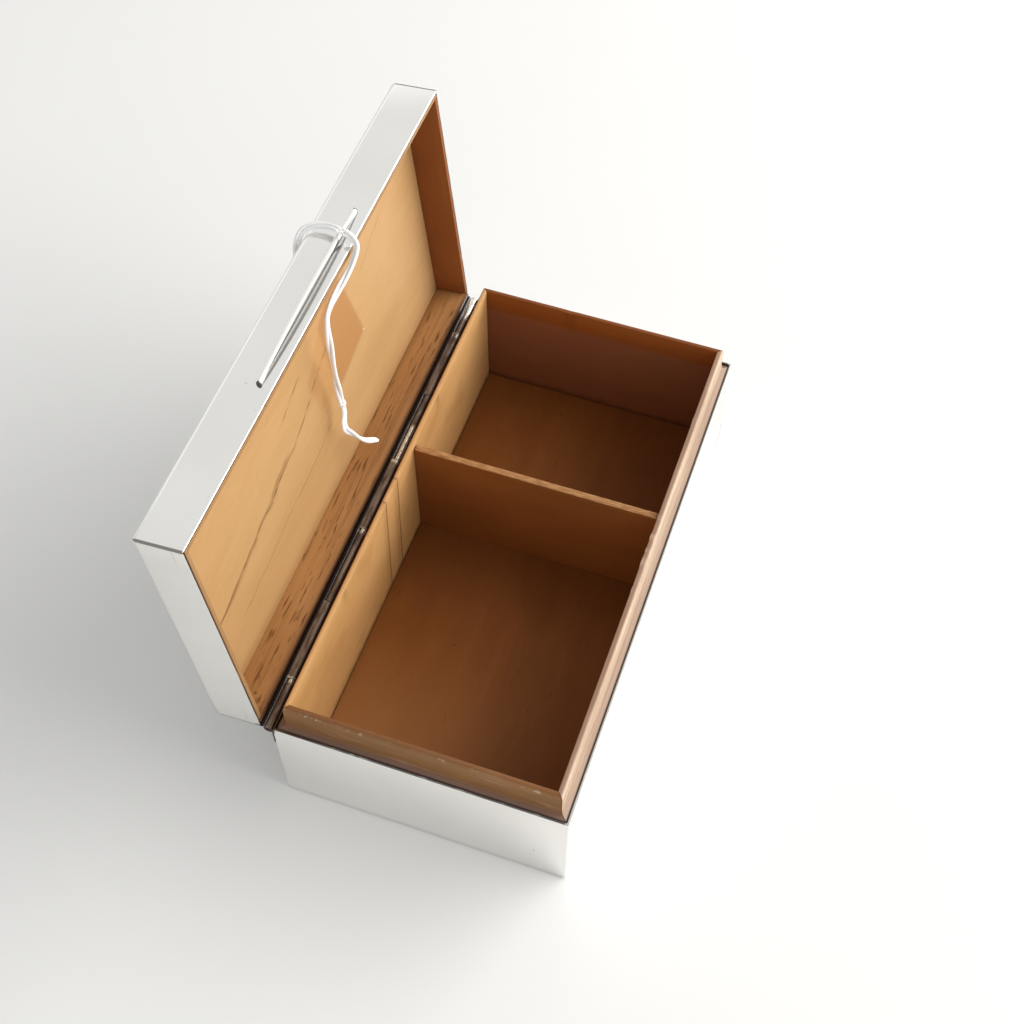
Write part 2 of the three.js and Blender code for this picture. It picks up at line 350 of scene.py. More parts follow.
def cedar(name, light, dark, grain="x", on_lid=False, seed=0.0, figure=1.0, shine=0.3, marks=None):
    """Cedar with its grain along one axis.

    figure is how strong the growth rings and streaks are, and shine is the strength of the
    polish. marks(parts) gives what one board has of its own, and any light and shade painted on it, as
    marked() reads it.
    """
    material, tree = new_material(name)
    place = place_in_frame(tree, on_lid)
    parts = separate(place)
    order = {"x": (0, 1, 2), "y": (1, 0, 2), "z": (2, 0, 1)}[grain]
    own = add(
        "ShaderNodeCombineXYZ",
        {"X": parts[order[0]], "Y": parts[order[1]], "Z": parts[order[2]]},
    ).outputs[0]
    shifted = add(
        "ShaderNodeVectorMath", {0: own, 1: (seed, 0.37 * seed, 0.71 * seed)}, operation="ADD"
    ).outputs[0]
    sway = times(cloud(scaled(shifted, (14, 40, 40)), 2), 0.02)
    wavy = add(
        "ShaderNodeVectorMath",
        {0: shifted, 1: add("ShaderNodeCombineXYZ", {"Y": sway, "Z": sway}).outputs[0]},
        operation="ADD",
    ).outputs[0]
    rings = cloud(scaled(wavy, (6, 130, 130)), 3, 0.55)
    streaks = cloud(scaled(wavy, (22, 620, 620)), 4, 0.6)
    fibres = cloud(scaled(shifted, (160, 4200, 4200)), 2, 0.6)
    mottle = cloud(scaled(shifted, (20, 34, 34)), 3)
    pores = between(cloud(scaled(shifted, (240, 2600, 2600)), 1.5), 0.68, 0.78)
    share = times(between(rings, 0.3, 0.72), 0.34 * figure)
    share = plus(share, times(between(streaks, 0.3, 0.75), 0.16 * figure))
    share = plus(share, times(between(mottle, 0.3, 0.7), 0.42), clamp=True)
    colour = blend_colour(share, light, dark)
    deep = [0.45 * c for c in dark]
    colour = blend_colour(times(pores, 0.5 * figure), colour, deep)
    colour = marked(colour, marks, parts)
    rough = plus(0.42, times(streaks, 0.2))
    relief = plus(fibres, times(pores, -0.8))
    finish_material(colour, rough, {"Specular IOR Level": shine, "Normal": bumped(relief, 0.2, 0.0001)})
    return material


def near_line(value, middle, reach):
    """1 where a value is at the middle, falling to 0 a reach away on either side."""
    away = magnitude(minus(value, middle))
    return between(away, reach, 0.0)


def tinted(share, strength, colour, other):
    """Blends towards another colour by a mask times a strength."""
    return blend_colour(times(share, strength), colour, other)


def marked(colour, marks, parts):
    """The colour under each (mask, strength, colour) that marks(parts) gives, in that order."""
    for share, strength, other in marks(parts) if marks else ():
        colour = tinted(share, strength, colour, other)
    return colour


def flat_cloud(a, b, scale, detail=3.0):
    """Noise over two coordinates only."""
    flat = add("ShaderNodeCombineXYZ", {"X": a, "Y": b}).outputs[0]
    return cloud(scaled(flat, (*scale, 1)), detail)


def near_side(value, start, end):
    """0 to 1 as a coordinate's distance from the middle of the box goes from start to end."""
    return between(magnitude(value), start, end)


def panel_marks(parts):
    """What only the lid's panel shows: an old gum stain, long dark grain lines, small flecks, and a painted
    highlight at one corner of the stain.
    """
    x, y, _ = parts
    stain_corners = [(9, -17.6), (23.7, -26.5), (32, 7.3), (10.2, 11.8)]
    stain = inside_outline(parts, stain_corners, 1.0)
    yield stain, 0.85, (0.43, 0.205, 0.072)
    far_edge = stroke(parts, stain_corners[1], stain_corners[2], 0.7)
    low_edge = stroke(parts, stain_corners[2], stain_corners[3], 0.7)
    yield larger(far_edge, low_edge), 0.2, (0.34, 0.15, 0.05)
    tail = inside_outline(parts, [(-3, -6), (9, -17), (10.5, 10), (1, 9)], 1.2)
    yield tail, 0.4, (0.46, 0.22, 0.07)
    # start, end, width and strength
    lines = [
        ((-77, 14.6), (-14, 2.6), 0.8, 0.8),
        ((-14, 2.6), (13, -9), 0.7, 0.75),
        ((-66, 13.4), (-30, 6.4), 1.6, 0.35),
        ((-44, 8), (-20, 2), 1.3, 0.5),
        ((-20, -10), (-6, -14), 0.8, 0.7),
        ((-30, -16), (-24, -18), 0.5, 0.6),
        ((-60, 24), (10, 17), 0.5, 0.4),
        ((36, -12), (60, -20), 0.5, 0.35),
    ]
    broken = between(flat_cloud(x, y, (90, 500)), 0.36, 0.56)
    drift = minus(flat_cloud(x, y, (85, 85), 3), 0.5)
    wavy = (x, plus(y, times(drift, 4 * MM)))
    for start, end, width, strength in lines:
        yield times(stroke(wavy, start, end, width), broken), strength, (0.17, 0.07, 0.022)
    flecks = between(flat_cloud(x, y, (320, 320)), 0.72, 0.78)
    yield flecks, 0.5, (0.30, 0.14, 0.05)
    # painted highlight: a bright dot where a corner of the stain catches the light
    painted_glint = times(near_line(x, 32 * MM, 0.5 * MM), near_line(y, 7.3 * MM, 0.5 * MM))
    yield painted_glint, 1.0, (0.85, 0.80, 0.70)


def back_strip_marks(parts):
    """Dark dashes along the hinge strip, a nail hole near its end, and painted shade: a dark edge by the
    hinge.
    """
    x, _, z = parts
    dashes = between(flat_cloud(x, z, (95, 1000), 2), 0.57, 0.68)
    yield dashes, 0.75, (0.10, 0.035, 0.012)
    bands = between(flat_cloud(x, z, (9, 420), 3), 0.42, 0.66)
    yield bands, 0.4, (0.20, 0.08, 0.026)
    wobble = times(flat_cloud(x, z, (1500, 1500), 2), 0.8 * MM)
    # x, z, radius and strength
    spots = [(-74.3, 42.6, 0.75, 0.85), (-76.3, 41.0, 1.3, 0.4), (-21, 44.6, 0.6, 0.7)]
    for spot_x, spot_z, radius, strength in spots:
        offset = {"X": minus(x, spot_x * MM), "Y": minus(z, spot_z * MM)}
        spot = add("ShaderNodeCombineXYZ", offset).outputs[0]
        distance = add("ShaderNodeVectorMath", {0: spot}, operation="LENGTH").outputs["Value"]
        ragged = plus(distance, wobble)
        hole = between(ragged, (radius + 0.45) * MM, 0.5 * radius * MM)
        yield hole, strength, (0.07, 0.024, 0.009)
    # painted shade: the strip's edge by the hinge darkened, as the gap beside the barrel is in shadow
    edge = between(z, lid_rim + 1.15 * MM, lid_rim + 0.05 * MM)
    yield edge, 0.75, (0.055, 0.022, 0.012)


def lid_rim_painted_shade(parts):
    """Painted shade: a darker edge along the lid's rim."""
    edge = between(parts[2], lid_rim + 0.75 * MM, lid_rim + 0.05 * MM)
    yield edge, 0.5, (0.16, 0.08, 0.04)


def base_back_marks(parts):
    """Two leaning joint lines near the divider, stains, flecks, painted light along the top, painted shade on
    the lip's outer face by the hinge, and grime with painted shade along the foot of the wall.
    """
    x, y, z = parts
    leaning = plus(x, times(minus(z, lip_top), -0.06))
    # x, reach to either side and strength
    joints = [(0.5, 0.7, 0.85), (-8.5, 0.7, 0.8), (-1.2, 3.0, 0.25), (-9.8, 2.4, 0.2)]
    for middle, reach, strength in joints:
        yield near_line(leaning, middle * MM, reach * MM), strength, (0.17, 0.07, 0.022)
    stains = between(flat_cloud(x, z, (45, 60), 3), 0.5, 0.66)
    yield stains, 0.3, (0.36, 0.17, 0.055)
    flecks = between(flat_cloud(x, z, (600, 420), 2), 0.72, 0.78)
    yield flecks, 0.5, (0.22, 0.09, 0.03)
    # painted light: the top of the wall made paler where the light falls on it
    painted_light_top = between(z, lip_top - 2.2 * MM, lip_top - 0.4 * MM)
    yield painted_light_top, 0.15, (0.75, 0.50, 0.27)
    # painted shade: the lip's outer face by the hinge darkened
    outer = between(y, half_y - 3.5 * MM, half_y - 2.9 * MM)
    yield outer, 0.8, (0.13, 0.055, 0.025)
    yield from foot_grime_and_shade(parts)


def foot_grime_and_shade(parts):
    """A soft dark line where a wall meets the floor board: grime, and painted shade in the corner."""
    x, y, z = parts
    ragged = plus(z, times(flat_cloud(x, y, (260, 260)), -4 * MM))
    low = between(ragged, floor_top + 0.6 * MM, floor_top - 2.1 * MM)
    yield low, 0.45, (0.06, 0.024, 0.01)


def lip_marks(parts):
    """The lip has lengthwise bands, a redder flat top, pale rubs with a painted highlight on its outer edge,
    a darker, greyer foot, and grime with painted shade where it meets the floor.
    """
    x, y, z = parts
    around = plus(x, y)
    side = near_side(x, half_x - 4.2 * MM, half_x - 3.8 * MM)
    end = near_side(y, half_y - 4.2 * MM, half_y - 3.8 * MM)
    outer = larger(side, end)
    bands = between(flat_cloud(around, z, (28, 520), 3), 0.42, 0.6)
    yield times(bands, outer), 0.32, (0.23, 0.12, 0.05)
    pale = between(flat_cloud(around, z, (46, 900), 3), 0.58, 0.72)
    yield times(pale, outer), 0.3, (0.58, 0.43, 0.30)
    top = between(z, lip_top - 0.4 * MM, lip_top - 0.05 * MM)
    yield top, 0.55, (0.17, 0.06, 0.024)
    # pale rubs along the rounded outer edge, partly a painted highlight
    rub_and_highlight = times(outer, near_line(z, lip_top - 0.9 * MM, 0.9 * MM))
    broken = between(flat_cloud(around, z, (420, 420), 3), 0.56, 0.66)
    yield times(rub_and_highlight, broken), 0.5, (0.66, 0.55, 0.42)
    foot = between(z, band_high.z + 2.2 * MM, band_high.z + 0.4 * MM)
    yield foot, 0.35, (0.22, 0.12, 0.085)
    yield from foot_grime_and_shade(parts)


def floor_flecks_and_painted_light(parts):
    """Small dark flecks; painted light, a paler patch towards the near end and the back wall; and painted
    shade, darker and redder, in the far front corner and beside the divider.
    """
    x, y, _ = parts
    flecks = between(flat_cloud(x, y, (170, 700), 2), 0.68, 0.76)
    yield flecks, 0.55, (0.06, 0.02, 0.006)
    # painted light: paler towards the near end and the back wall, where the light reaches the floor
    lit_near_end = between(x, -20 * MM, -80 * MM)
    lit_towards_back = between(y, -40 * MM, 30 * MM)
    yield times(lit_near_end, lit_towards_back), 0.6, (0.46, 0.23, 0.09)
    # painted shade: darker and redder where the front wall and the divider shade the floor
    shaded_far_corner = between(plus(x, times(y, -0.9)), 20 * MM, 100 * MM)
    shaded_by_divider = near_line(x, 10 * MM, 30 * MM)
    yield larger(shaded_far_corner, shaded_by_divider), 0.45, (0.105, 0.028, 0.008)


def ledge_gap_painted_shade(parts):
    """Painted shade: the carcass darkened where its top edge meets the silver, in the gap's shadow."""
    side = near_side(parts[0], half_x - 1.35 * MM, half_x - 0.95 * MM)
    end = near_side(parts[1], half_y - 1.35 * MM, half_y - 0.95 * MM)
    yield larger(side, end), 0.85, (0.035, 0.022, 0.018)


def silver(name, on_lid=False, marks=None, mirror=1.0):
    """Polished silver sheet with faint polishing marks and a few small scuffs.

    mirror is how much of it reflects like bare metal.
    """
    material, tree = new_material(name)
    place = place_in_frame(tree, on_lid)
    parts = separate(place)
    haze = cloud(scaled(place, (38, 38, 38)), 3)
    hairlines = cloud(scaled(place, (60, 1800, 1800)), 2, 0.7)
    crossed = cloud(scaled(place, (1500, 90, 1500)), 2, 0.7)
    specks = between(cloud(scaled(place, (340, 340, 340)), 1), 0.79, 0.84)
    colour = blend_colour(between(haze, 0.3, 0.75), (0.90, 0.895, 0.865), (0.87, 0.86, 0.825))
    colour = tinted(specks, 0.35, colour, (0.42, 0.38, 0.32))
    colour = marked(colour, marks, parts)
    rough = plus(0.09, times(haze, 0.1))
    rough = plus(rough, times(specks, 0.2))
    waves = times(cloud(scaled(place, (26, 26, 26)), 1), 9.0)
    relief = plus(waves, plus(hairlines, crossed))
    finish_material(colour, rough, {"Metallic": mirror, "Normal": bumped(relief, 0.12, 0.00006)})
    return material


def corner_seams_and_hinge_shade(parts):
    """A dark soldered seam down each upright corner of the lid, scuffs beside it, and painted shade, black,
    low on the back face by the hinge.
    """
    x, y, z = parts
    on_side = near_side(x, half_x - 0.75 * MM, half_x - 0.45 * MM)
    on_end = near_side(y, half_y - 0.75 * MM, half_y - 0.45 * MM)
    yield times(on_side, on_end), 0.8, (0.10, 0.085, 0.07)
    close_x = near_side(x, half_x - 11 * MM, half_x - 4 * MM)
    close_y = near_side(y, half_y - 11 * MM, half_y - 4 * MM)
    scuffs = between(flat_cloud(x, z, (260, 420), 2), 0.68, 0.75)
    worn = times(scuffs, times(close_x, close_y))
    yield worn, 0.5, (0.35, 0.30, 0.24)
    # painted shade: the back face by the hinge blackened, where the barrel's sides are in shadow
    low = between(z, lid_rim + 2 * MM, lid_rim + 0.8 * MM)
    back = between(y, half_y - 1.2 * MM, half_y - 0.8 * MM)
    yield times(low, back), 0.9, (0.035, 0.024, 0.02)


def band_gap_painted_shade(parts):
    """Painted shade: the band's top edge black in the gap against the wood, less so along the front, and its
    back face dark by the hinge.
    """
    x, y, z = parts
    # painted shade: the band's top edge darkened in the gap
    top = between(z, band_high.z - 0.16 * MM, band_high.z - 0.06 * MM)
    ragged = between(flat_cloud(x, y, (300, 300), 3), 0.2, 0.5)
    front = between(y, 1.2 * MM - half_y, 0.9 * MM - half_y)
    kept = plus(0.7, times(ragged, 0.3))
    kept = times(kept, minus(1.0, times(front, 0.6)))
    yield times(top, kept), 0.9, (0.075, 0.062, 0.06)
    # painted shade: the back face darkened under the hinge
    high = between(z, band_high.z - 3 * MM, band_high.z - 1 * MM)
    back = between(y, half_y - 0.8 * MM, half_y - 0.5 * MM)
    yield times(high, back), 0.85, (0.05, 0.035, 0.03)


def bar_flank_shade_and_dark_ends(parts):
    """The thumb bar has painted shade and a painted dark reflection on its flank beside the rim, and is dark
    on both blunt ends.
    """
    low, high = shut_box("thumb_bar")
    middle = (low + high) / 2
    half_length = (high.x - low.x) / 2
    # painted shade and a painted dark reflection on the rim-side flank
    shaded_flank = between(parts[2], middle.z - 0.55 * MM, middle.z - 0.85 * MM)
    yield shaded_flank, 0.88, (0.045, 0.04, 0.036)
    ends = near_side(
        minus(parts[0], middle.x), half_length - 0.8 * MM, half_length - 0.3 * MM
    )
    yield ends, 0.92, (0.03, 0.027, 0.025)


def hinge_metal(name):
    """Old silver gone bronze-brown, worn bright along the crest of a few knuckles with a painted highlight
    there, and painted shade, near black, low on the barrel and on its sides.
    """
    material, tree = new_material(name)
    place = place_in_frame(tree)
    x, y, z = separate(place)
    patch = cloud(scaled(place, (120, 420, 420)), 3, 0.6)
    fine = cloud(scaled(place, (700, 2400, 2400)), 2, 0.6)
    height = minus(z, hinge_point.z)
    away = magnitude(minus(y, hinge_point.y))
    on_barrel = between(away, barrel_radius, 1.1 * MM)
    # the crest worn bright, partly a painted highlight
    crest = times(on_barrel, between(height, 1.0 * MM, 1.42 * MM))
    wear_and_highlight = times(times(crest, between(patch, 0.3, 0.6)), 0.3)
    # x of each worn, highlit length and its reach to either side
    worn_and_highlit_lengths = [(19.5, 7.5), (78.5, 6.0), (-66.6, 1.0), (-14, 1.0), (65.3, 1.0)]
    for middle, reach in worn_and_highlit_lengths:
        along = magnitude(minus(x, middle * MM))
        zone = times(between(along, (reach + 0.8) * MM, (reach - 0.8) * MM), on_barrel)
        polish_and_highlight = times(between(height, 0.7 * MM, 1.3 * MM), zone)
        polish_and_highlight = times(polish_and_highlight, between(fine, 0.25, 0.5))
        wear_and_highlight = larger(wear_and_highlight, polish_and_highlight)
    brown = blend_colour(patch, (0.17, 0.11, 0.075), (0.11, 0.065, 0.048))
    # painted shade: the lower barrel and its sides darkened near black
    shaded_barrel_side = between(away, 0.75 * MM, 1.35 * MM)
    deep = larger(between(height, 1.15 * MM, 0.3 * MM), shaded_barrel_side)
    brown = tinted(deep, 0.88, brown, (0.022, 0.012, 0.010))
    colour = blend_colour(wear_and_highlight, brown, (0.80, 0.76, 0.68))
    rough = minus(0.5, times(wear_and_highlight, 0.26))
    others = {
        "Metallic": plus(0.7, times(wear_and_highlight, 0.3)),
        "Specular IOR Level": 0.25,
        "Normal": bumped(patch, 0.15, 0.00015),
    }
    finish_material(colour, rough, others)
    return material


def felt(name):
    material, tree = new_material(name)
    place = place_in_frame(tree)
    nap = cloud(scaled(place, (2600, 2600, 2600)), 4, 0.8)
    wear = cloud(scaled(place, (60, 60, 60)), 2)
    colour = blend_colour(nap, (0.012, 0.028, 0.016), (0.05, 0.085, 0.055))
    colour = blend_colour(times(wear, 0.3), colour, (0.09, 0.09, 0.07))
    finish_material(colour, 0.95, {"Sheen Weight": 0.4, "Normal": bumped(nap, 0.8, 0.0003)})
    return material


def cotton(name):
    material, tree = new_material(name)
    place = place_in_frame(tree)
    fluff = cloud(scaled(place, (5200, 5200, 5200)), 3, 0.7)
    soil = cloud(scaled(place, (120, 120, 120)), 2)
    colour = blend_colour(fluff, (0.92, 0.92, 0.92), (0.985, 0.985, 0.985))
    colour = tinted(soil, 0.06, colour, (0.80, 0.74, 0.70))
    others = {
        "Sheen Weight": 0.3,
        "Subsurface Weight": 0.3,
        "Subsurface Radius": (0.001, 0.001, 0.001),
        "Normal": bumped(fluff, 0.3, 0.00008),
    }
    finish_material(colour, 0.85, others)
    return material


def dress(piece, material, body, slot, *nodes):
    """Gives a piece its material and body, and hides the CAD nodes that it stands for."""
    piece.data.materials.clear()
    piece.data.materials.append(material)
    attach(piece, body)
    if nodes:
        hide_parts(*nodes)
    return piece


# ---- The tag string ----

strand_radius = 0.53 * MM
strand_apart = 0.53 * MM
strand_lay = 2.6 * MM
knot_radius = 2 * MM
small_knot_height = 71.6 * MM
inner_route_mm = [
    (20.5, 56.4, 125.4),
    (20.3, 54.6, 125.1),
    (19.8, 52.9, 124.3),
    (19, 51.8, 123.1),
    (17.4, 51.5, 121.8),
    (14.9, 51.6, 120.4),
    (11.6, 52.1, 118.9),
    (7.6, 52.8, 117.4),
    (3.9, 53.4, 115.7),
    (1.7, 53.8, 113.2),
    (1.3, 54.1, 109.5),
    (1.6, 54.4, 105),
    (2, 54.6, 100),
    (2.6, 54.8, 91),
    (3.3, 55, 82),
    (4.1, 55, 74),
    (4.7, 54.9, 69.5),
    (4.3, 54.7, 66.8),
    (2.7, 54.3, 64.8),
    (2.1, 53.7, 62.6),
    (3.3, 52.9, 59.8),
    (5.2, 51.7, 55.6),
    (7.8, 50.6, 51.4),
    (11.5, 49.5, 47.4),
]
outer_route_mm = [
    (20.7, 57.1, 125.3),
    (21.6, 59.3, 124.7),
    (22.2, 61.8, 123.9),
    (22.2, 64.2, 123.4),
    (21.5, 66.3, 122.8),
    (20.4, 68.1, 121.6),
    (18.9, 69, 119.3),
    (17.2, 69.1, 116),
    (15.9, 69, 111),
    (15.2, 68.8, 104),
    (14.9, 68.6, 96),
    (14.9, 68.5, 88),
    (15.2, 68.5, 80),
]


def smooth_line(points, spacing):
    """Points at even spacing along a smooth curve through the given ones."""
    controls = [points[0] * 2 - points[1], *points, points[-1] * 2 - points[-2]]
    fine = []
    for i in range(1, len(controls) - 2):
        p0, p1, p2, p3 = controls[i - 1 : i + 3]
        for step in range(24):
            t = step / 24
            fine.append(
                0.5
                * (
                    2 * p1
                    + (p2 - p0) * t
                    + (2 * p0 - 5 * p1 + 4 * p2 - p3) * t * t
                    + (3 * p1 - p0 - 3 * p2 + p3) * t ** 3
                )
            )
    fine.append(points[-1].copy())
    gone = [0.0]
    for a, b in zip(fine, fine[1:]):
        gone.append(gone[-1] + (b - a).length)
    count = max(2, round(gone[-1] / spacing))
    targets = np.linspace(0, gone[-1], count + 1)
    columns = [np.interp(targets, gone, [p[axis] for p in fine]) for axis in range(3)]
    return [Vector(p) for p in zip(*columns)]


def carried_frames(line, first_side):
    """(tangent, side, other side) at each point, carried along the line without twisting."""
    frames = []
    side = first_side
    for i, _ in enumerate(line):
        tangent = (line[min(i + 1, len(line) - 1)] - line[max(i - 1, 0)]).normalized()
        side = (side - side.dot(tangent) * tangent).normalized()
        frames.append((tangent, side, tangent.cross(side)))
    return frames


def twisted_strand(name, line, radius, lay, phase=0.0, plies=3):
    """A laid cotton strand: a round tube with one shallow groove between each pair of plies."""
    around = 15
    frames = carried_frames(line, Vector((0.3, 0.5, 0.81)))
    gone = 0.0
    rings = []
    for i, point in enumerate(line):
        if i:
            gone += (point - line[i - 1]).length
        _, side, other = frames[i]
        turn = 2 * math.pi * gone / lay + phase
        ends = min(i, len(line) - 1 - i)
        taper = (0.55, 0.85, 1)[min(ends, 2)]
        ring = []
        for j in range(around):
            angle = 2 * math.pi * j / around
            groove = 1 - 0.1 * (1 + math.cos(plies * (angle - turn))) / 2
            fuzz = 1 + 0.05 * noise.noise(Vector((gone * 2500, j * 1.7, phase)))
            reach = radius * groove * fuzz * taper
            ring.append(point + reach * (math.cos(angle) * side + math.sin(angle) * other))
        rings.append(ring)
    return loft(name, rings, sharp_degrees=80)


def doubled_line(line, apart, wander_seed, bight=True):
    """Down one side of the centreline, round a bight at its end, and back up the other side."""
    frames = carried_frames(line, Vector((0.6, 0.7, 0.3)))
    sides = []
    for sign in (1, -1):
        points = []
        for i, point in enumerate(line):
            roll = 1.1 * math.sin(i * 0.045 + wander_seed)
            _, side, other = frames[i]
            points.append(point + sign * apart * (math.cos(roll) * side + math.sin(roll) * other))
        sides.append(points)
    if not bight:
        return sides
    tangent = frames[-1][0]
    middle = line[-1]
    out = sides[0][-1] - middle
    turn = []
    for step in range(1, 8):
        angle = math.pi * step / 8
        turn.append(middle + math.cos(angle) * out + math.sin(angle) * 1.25 * apart * tangent)
    return [sides[0] + turn + sides[1][::-1]]


def joined(name, pieces):
    """Several meshes made one object, without merging their bodies."""
    points, faces = [], []
    for piece in pieces:
        start = len(points)
        points += [v.co.copy() for v in piece.data.vertices]
        faces += [tuple(start + i for i in f.vertices) for f in piece.data.polygons]
        bpy.data.objects.remove(piece)
    mesh = bpy.data.meshes.new(name)
    mesh.from_pydata([tuple(p) for p in points], [], faces)
    whole = bpy.data.objects.new(name, mesh)
    scene.collection.objects.link(whole)
    for face in mesh.polygons:
        face.use_smooth = True
    return whole


def line_length(line):
    return sum((b - a).length for a, b in zip(line, line[1:]))


def wrap_turns(centre, tangent, radius, turns, pitch):
    """A short coil of one strand round the others, as the middle of a small knot."""
    straight = [centre - tangent, centre, centre + tangent]
    axis, side, other = carried_frames(straight, Vector((0.2, 0.9, 0.1)))[1]
    steps = int(28 * turns)
    line = []
    for i in range(steps + 1):
        share = i / steps
        angle = 2 * math.pi * turns * share
        lift = (share - 0.5) * pitch * turns
        swell = radius * (0.75 + 0.25 * math.sin(math.pi * share))
        outward = math.cos(angle) * side + math.sin(angle) * other
        line.append(centre + lift * axis + swell * outward)
    return line


def laid_strands(lines):
    return [twisted_strand("strand", line, strand_radius, strand_lay, i) for i, line in enumerate(lines)]


def declare_cord(line):
    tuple(line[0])
    line_length(line)


def inner_string(material):
    """The run inside the lid: a doubled strand with a small knot low down and a bight at its end."""
    line = smooth_line([Vector(p) * MM for p in inner_route_mm], 0.3 * MM)
    strands = laid_strands(doubled_line(line, strand_apart, 0.4))
    at = min(range(len(line)), key=lambda i: abs(line[i].z - small_knot_height))
    tangent = (line[at + 1] - line[at - 1]).normalized()
    turns = wrap_turns(line[at], tangent, 0.85 * MM, 1.6, 0.9 * MM)
    strands.append(twisted_strand("turns", turns, 0.42 * MM, strand_lay, 2))
    run = joined("string_inner_run", strands)
    dress(run, material, "tag_string", "cotton", "string_inner")
    declare_cord(line)


def outer_string(material):
    """The run over the lid's front and down behind it, ending in a round knot."""
    line = smooth_line([Vector(p) * MM for p in outer_route_mm], 0.3 * MM)
    run = joined("string_outer_run", laid_strands(doubled_line(line, strand_apart, 1.3, bight=False)))
    dress(run, material, "lid", "cotton", "string_outer")
    knot_centre = line[-1] - Vector((0, 0, knot_radius + 0.2 * MM))
    coils = []
    for tilt, spin in ((0.2, 0), (1.3, 1.1), (2.3, 2.3)):
        flat = math.sin(tilt)
        axis = Vector((flat * math.cos(spin), flat * math.sin(spin), math.cos(tilt)))
        turns = wrap_turns(knot_centre, axis, 1.25 * MM, 2.3, 0.7 * MM)
        coils.append(twisted_strand("coil", turns, 0.52 * MM, strand_lay, tilt))
    knot = joined("string_end_knot", coils)
    dress(knot, material, "lid", "cotton", "string_knot")
    declare_cord(line)


white_cotton = cotton("cotton_string")
inner_string(white_cotton)
outer_string(white_cotton)


# ---- Silver ----

def shell_rings(low, high, thickness, edge_radius, corner, steps=10):
    """Rings of an upturned tray: down its inside, round the rim, and up its outside."""
    rim = 0.12 * MM
    inner_radius = edge_radius - thickness
    inside = []
    for i in range(steps + 1):
        angle = math.pi / 2 * (1 - i / steps)
        inset = thickness + inner_radius * (1 - math.cos(angle))
        inside.append((inset, high.z - thickness - inner_radius * (1 - math.sin(angle))))
    rows = inside + [(thickness, low.z + rim), (thickness - rim, low.z), (rim, low.z), (0, low.z + rim)]
    for i in range(steps + 1):
        angle = math.pi / 2 * i / steps
        rows.append((edge_radius * (1 - math.cos(angle)), high.z - edge_radius * (1 - math.sin(angle))))
    return [rectangle_ring(low, high, inset, z, corner) for inset, z in rows]


def lid_shell():
    rings = shell_rings(shell_low, shell_high, silver_thickness, lid_edge_radius, 0.25 * MM)
    shell = turn_open(loft("lid_shell", rings, sharp_degrees=28))
    metal = silver("silver_lid", on_lid=True, marks=corner_seams_and_hinge_shade)
    return dress(shell, metal, "lid", "silver", "lid_silver_shell")


def base_band():
    soft = 0.15 * MM
    thick = silver_thickness
    rows = [
        (0, band_low.z + soft),
        (0, band_high.z - soft),
        (soft * 0.3, band_high.z - soft * 0.3),
        (soft, band_high.z),
        (thick - soft * 0.5, band_high.z),
        (thick, band_high.z - soft * 0.5),
        (thick, band_low.z),
        (soft, band_low.z),
    ]
    rings = [rectangle_ring(band_low, band_high, inset, z, 0.3 * MM) for inset, z in rows]
    band = loft("base_band", rings, wrap=True, sharp_degrees=28)
    return dress(band, silver("silver_base", marks=band_gap_painted_shade), "base", "silver", "base_silver_band")


def thumb_bar():
    low, high = shut_box("thumb_bar")
    reach = (high.x - low.x) / 2
    middle_x = (low.x + high.x) / 2
    middle_z = (low.z + high.z) / 2
    wall = shell_low.y
    projection = wall - low.y
    half_height = (high.z - low.z) / 2
    tip = 0.5
    stations = [-1, -0.9985, -0.995] + list(np.linspace(-0.985, 0.985, 45)) + [0.995, 0.9985, 1]
    rings = []
    for t in stations:
        size = tip + (1 - tip) * (1 - t * t)
        edge = max(0.0, (abs(t) - 0.995) / 0.005)
        size *= 1 - 0.2 * edge * edge
        ring = []
        for j in range(17):
            angle = math.pi * j / 16
            across = -math.cos(angle) * half_height * size
            out = math.sin(angle) ** 0.8 * projection * size
            ring.append(Vector((middle_x + t * reach, wall - out, middle_z + across)))
        rings.append(ring)
    bar = turn_open(loft("thumb_bar_piece", rings))
    metal = silver("silver_bar", on_lid=True, marks=bar_flank_shade_and_dark_ends, mirror=0.6)
    return dress(bar, metal, "lid", "silver", "thumb_bar")


lid_shell()
base_band()
thumb_bar()


# ---- Cedar boards ----

# inward direction, distance of the outside from the middle, and half the outside length
sides = {
    "front": (Vector((0, 1, 0)), half_y, half_x),
    "back": (Vector((0, -1, 0)), half_y, half_x),
    "left": (Vector((1, 0, 0)), half_x, half_y),
    "right": (Vector((-1, 0, 0)), half_x, half_y),
}


